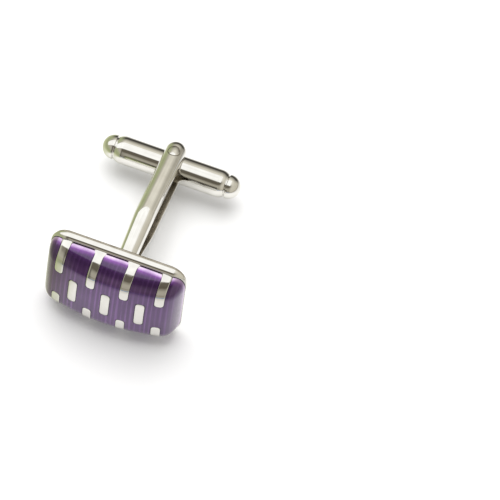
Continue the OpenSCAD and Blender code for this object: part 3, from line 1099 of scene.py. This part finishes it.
def by_side(net, front, back, left, right):
    """Four tones blended by the side of the link on which a point of the room lies."""
    place = add_node(net, "TexCoord").outputs["Object"]
    way = add_node(net, "VectorMath", Vector=place)
    way.operation = "NORMALIZE"
    axes = add_node(net, "SeparateXYZ", Vector=way.outputs["Vector"])
    to_right, to_back = axes.outputs["X"], axes.outputs["Y"]
    room = mixed(net, mapped(net, to_back, *back_edge, 0, 1), front, back)
    room = mixed(net, mapped(net, to_right, *left_edge, 0, 1), room, left)
    return mixed(net, mapped(net, to_right, *right_edge, 0, 1), room, right)


print("the room's tones change at", back_edge, left_edge, "and", right_edge)

# %% [markdown]
# ## The table
# The link lies on a plain white sheet. To the camera the sheet is white wherever no shadow
# falls. The real sheet was small: further out the metal sees the darker table around it,
# greenish on the left and nearly black at the back. A second floor would show in other
# views, so the sheet itself has those tones, by the place on it alone, for reflections.

# %% Sheet of white under the link
sheet_half, sheet_steps = 0.5, 96
sheet_mesh = bpy.data.meshes.new("white_sheet")
sheet_turns = np.linspace(0, 2 * pi, sheet_steps, endpoint=False)
sheet_mesh.from_pydata(
    [(sheet_half * cos(t), sheet_half * sin(t), 0) for t in sheet_turns], [],
    [tuple(range(sheet_steps))],
)
sheet = bpy.data.objects.new("white_sheet", sheet_mesh)
bpy.context.scene.collection.objects.link(sheet)
print("the sheet is", 2 * sheet_half, "m across")

# %% Tones of the sheet
sheet_material, net, shader = new_material("white_sheet")
reach = add_node(net, "VectorMath", Vector=add_node(net, "TexCoord").outputs["Object"])
reach.operation = "LENGTH"
reach = reach.outputs["Value"]
sheet_white, near_white = (0.95, 0.95, 0.95), (0.96, 0.955, 0.94)
far_reach = 120 * mm
in_front = tone_by(
    net, reach, far_reach, [(20 * mm, near_white), (36 * mm, (0.66, 0.65, 0.62)),
    (60 * mm, (0.56, 0.54, 0.49)), (90 * mm, (0.5, 0.48, 0.43)), (115 * mm, (0.2, 0.3, 0.45))],
)
at_back = tone_by(
    net, reach, far_reach, [(20 * mm, near_white), (30 * mm, (0.4, 0.39, 0.36)),
    (40 * mm, (0.08, 0.075, 0.065)), (120 * mm, (0.05, 0.05, 0.045))],
)
at_left = tone_by(
    net, reach, far_reach, [(12 * mm, near_white), (16 * mm, (0.64, 0.66, 0.5)),
    (24 * mm, (0.46, 0.49, 0.3)), (60 * mm, (0.34, 0.37, 0.22)), (120 * mm, (0.3, 0.32, 0.2))],
)
table = by_side(net, in_front, at_back, at_left, in_front)
reflected = add_node(net, "LightPath").outputs["Is Glossy Ray"]
tone = mixed(net, reflected, sheet_white, table)
print("its tones reach out to", round(far_reach / mm), "mm")

# %% Finish of the sheet
glow_share = 0.08
net.links.new(tone, shader.inputs["Base Color"])
shader.inputs["Roughness"].default_value = 0.9
shader.inputs["Specular IOR Level"].default_value = 0.0
glow = add_node(net, "Emission", {"Strength": 1.0}, Color=tone)
lift = computed(net, "MULTIPLY", seen_or_reflected(net), glow_share)
blend = add_node(net, "MixShader", Fac=lift)
net.links.new(shader.outputs[0], blend.inputs[1])
net.links.new(glow.outputs[0], blend.inputs[2])
net.links.new(blend.outputs[0], net.nodes["Material Output"].inputs["Surface"])
sheet_mesh.materials.append(sheet_material)
print("made", sheet_material.name)

# %% [markdown]
# ## What the metal sees
# The studio had a large white panel close overhead, tilted to the back and left. Behind
# the link were a dark strip and a beige wall, in front a grey-beige room with a dark
# upright patch in it, on the left something greenish. A world map would be endlessly far
# away, and then the face and the bar see the same tones. A small tent stands closer, so
# they see them from different places. Only reflections see the tent, and it lights
# nothing.

# %% A tent for reflections
tent_radius = 0.07
tent_mesh = bpy.data.meshes.new("reflection_tent")
shell = bmesh.new()
bmesh.ops.create_icosphere(shell, subdivisions=4, radius=tent_radius)
shell.to_mesh(tent_mesh)
shell.free()
tent = bpy.data.objects.new("reflection_tent", tent_mesh)
bpy.context.scene.collection.objects.link(tent)
tent.visible_camera = tent.visible_diffuse = tent.visible_shadow = False
tent.visible_transmission = tent.visible_volume_scatter = False
print("the tent has a radius of", tent_radius, "m")

# %% Tones of the tent, by the climb in degrees
overhead = 90
tent_material, net, _ = new_material("reflection_tent")
place = add_node(net, "TexCoord").outputs["Object"]
way = add_node(net, "VectorMath", Vector=place)
way.operation = "NORMALIZE"
parts = add_node(net, "SeparateXYZ", Vector=way.outputs["Vector"]).outputs
climb = computed(net, "MULTIPLY", computed(net, "ARCSINE", parts["Z"], 0.0), 180 / pi)
front = tone_by(
    net, climb, overhead, [(0, (0.12, 0.24, 0.5)), (2.5, (0.2, 0.3, 0.46)), (5, (0.36, 0.34, 0.29)),
    (13, (0.33, 0.305, 0.25)), (17, (0.26, 0.24, 0.19)), (21, (0.4, 0.37, 0.31)),
    (38, (0.4, 0.375, 0.31)), (46, (0.28, 0.26, 0.21)), (54, (0.12, 0.105, 0.08)),
    (72, (0.13, 0.115, 0.09)), (78, (0.4, 0.38, 0.34)), (84, (0.6, 0.58, 0.53))],
)
back = tone_by(
    net, climb, overhead, [(0, (0.05, 0.05, 0.045)), (14, (0.07, 0.065, 0.055)),
    (20, (0.26, 0.245, 0.21)), (31, (0.48, 0.455, 0.39)), (42, (0.74, 0.71, 0.62)),
    (60, (0.76, 0.74, 0.67))],
)
left = tone_by(
    net, climb, overhead, [(0, (0.4, 0.43, 0.25)), (14, (0.36, 0.39, 0.23)),
    (27, (0.42, 0.44, 0.29)), (34, (0.44, 0.42, 0.35)), (60, (0.5, 0.475, 0.41))],
)
right = tone_by(
    net, climb, overhead, [(0, (0.14, 0.13, 0.1)), (5, (0.54, 0.51, 0.43)),
    (23, (0.6, 0.57, 0.48)), (58, (0.6, 0.575, 0.5)), (72, (0.7, 0.68, 0.61))],
)
print("the tent has tones for four sides")

# %% Dark patch in front
patch_aside, patch_half, patch_soft, patch_share = 0.36, 0.05, 0.1, 0.7
patch_full, patch_gone = 45, 60
aside = computed(net, "ABSOLUTE", computed(net, "ADD", parts["X"], patch_aside), 0.0)
narrow = mapped(net, aside, patch_soft, patch_half, 0, patch_share)
low = mapped(net, climb, patch_gone, patch_full, 0, 1)
front = mixed(net, computed(net, "MULTIPLY", narrow, low), front, (0.04, 0.035, 0.03))
room = by_side(net, front, back, left, right)
print("the patch ends", patch_gone, "degrees up")

# %% [markdown]
# ## The panel's reflection
# The white panel is a rectangle on a flat ceiling. Seen from below, a point's way to the
# side or back, divided by its height, tells whether it lies inside. Four soft edges
# multiplied give the panel, which no row of tones along the climb could. Faint streaks
# keep the room and the panel from looking ironed.

# %% Panel in the tent
panel_white, panel_lift = (1.0, 1.0, 0.985), 0.06
ceiling = computed(net, "MAXIMUM", parts["Z"], 0.05)
sideways = computed(net, "DIVIDE", parts["X"], ceiling)
backwards = computed(net, "DIVIDE", parts["Y"], ceiling)
# each edge as (direction, where the panel ends, where it is full)
edges = [
    (sideways, 0.62, 0.45), (sideways, -2.6, -2.2),
    (backwards, 0.84, 0.76), (backwards, -0.23, -0.17),
]
inside = mapped(net, *edges[0], 0, 1)
for edge in edges[1:]:
    inside = computed(net, "MULTIPLY", inside, mapped(net, *edge, 0, 1))
streaks = noise(net, 3 / tent_radius, 3 / tent_radius, 13 / tent_radius)
shade = mapped(net, streaks, 0.35, 0.65, 1.08, 1.22)
glow = mixed(net, inside, room, panel_white)
brightness = computed(net, "ADD", shade, computed(net, "MULTIPLY", inside, panel_lift))
tent_glow = add_node(net, "Emission", Color=glow, Strength=brightness)
net.links.new(tent_glow.outputs[0], net.nodes["Material Output"].inputs["Surface"])
tent_mesh.materials.append(tent_material)
tent_material.cycles.emission_sampling = "NONE"
print("made", tent_material.name)

# %% [markdown]
# ## Light
# One wide panel above, tilted to the back and left, makes soft shadows that fall towards
# the viewer and a little to the right, where a sun lamp would draw hard ones. A pale world
# lights the rest. Their levels are set so that the sheet comes out just white where
# nothing shades it. The panel itself doesn't show in the metal, because the tent already
# holds its reflection.

# %% Panel overhead
panel_way = np.array((-0.17, 0.33, 0.92))
panel_distance = 1.1
lamp = bpy.data.lights.new("panel_above", "AREA")
lamp.size, lamp.energy = 1.3, 15.5
panel = bpy.data.objects.new("panel_above", lamp)
bpy.context.scene.collection.objects.link(panel)
panel.location = panel_way / np.linalg.norm(panel_way) * panel_distance
panel.rotation_mode = "QUATERNION"
panel.rotation_quaternion = panel.location.to_track_quat("Z", "Y")
panel.visible_glossy = False
print("the panel is", round(lamp.size, 2), "m wide and", panel_distance, "m away")

# %% Pale world
world = bpy.data.worlds.new("studio")
bpy.context.scene.world = world
world.use_nodes = True
net = world.node_tree
seen = add_node(net, "Background", {"Color": (1, 1, 1, 1), "Strength": 1.0})
ambient = net.nodes["Background"]
ambient.inputs["Color"].default_value = (1, 0.99, 0.97, 1)
ambient.inputs["Strength"].default_value = 0.46
both = add_node(net, "MixShader", Fac=seen_or_reflected(net))
net.links.new(ambient.outputs[0], both.inputs[1])
net.links.new(seen.outputs[0], both.inputs[2])
net.links.new(both.outputs[0], net.nodes["World Output"].inputs["Surface"])
bpy.context.scene.view_settings.view_transform = "Standard"
print("made the world", world.name)

# %% [markdown]
# ## Camera
# The photo was taken from well above with a long lens: the post hardly narrows towards the
# face. The camera's direction, its roll and its aim were worked out from the places of the
# bars, the balls and the post's tip. The lens follows from the distance and the size of
# the image.

# %% Camera
azimuth, elevation, roll_angle = radians(15.5145), radians(59.4917), radians(5.839)
distance, image_side = 851 * mm, 500
aim = np.array((14.2568, 5.5702, 0.0)) * mm
focal_pixels = 6116.78
away = np.array((sin(azimuth) * cos(elevation), -cos(azimuth) * cos(elevation), sin(elevation)))
level_right = np.array((cos(azimuth), sin(azimuth), 0.0))
level_up = np.cross(away, level_right)
right = level_right * cos(roll_angle) + level_up * sin(roll_angle)
up = -level_right * sin(roll_angle) + level_up * cos(roll_angle)
camera_data = bpy.data.cameras.new("camera")
camera = bpy.data.objects.new("camera", camera_data)
bpy.context.scene.collection.objects.link(camera)
bpy.context.scene.camera = camera
camera_data.lens = camera_data.sensor_width * focal_pixels / image_side
camera_data.clip_start, camera_data.clip_end = 0.01, 10
place = aim + away * distance
camera.matrix_world = Matrix(
    [[right[i], up[i], away[i], place[i]] for i in range(3)] + [[0, 0, 0, 1]]
)
print("lens", round(camera_data.lens), "mm")
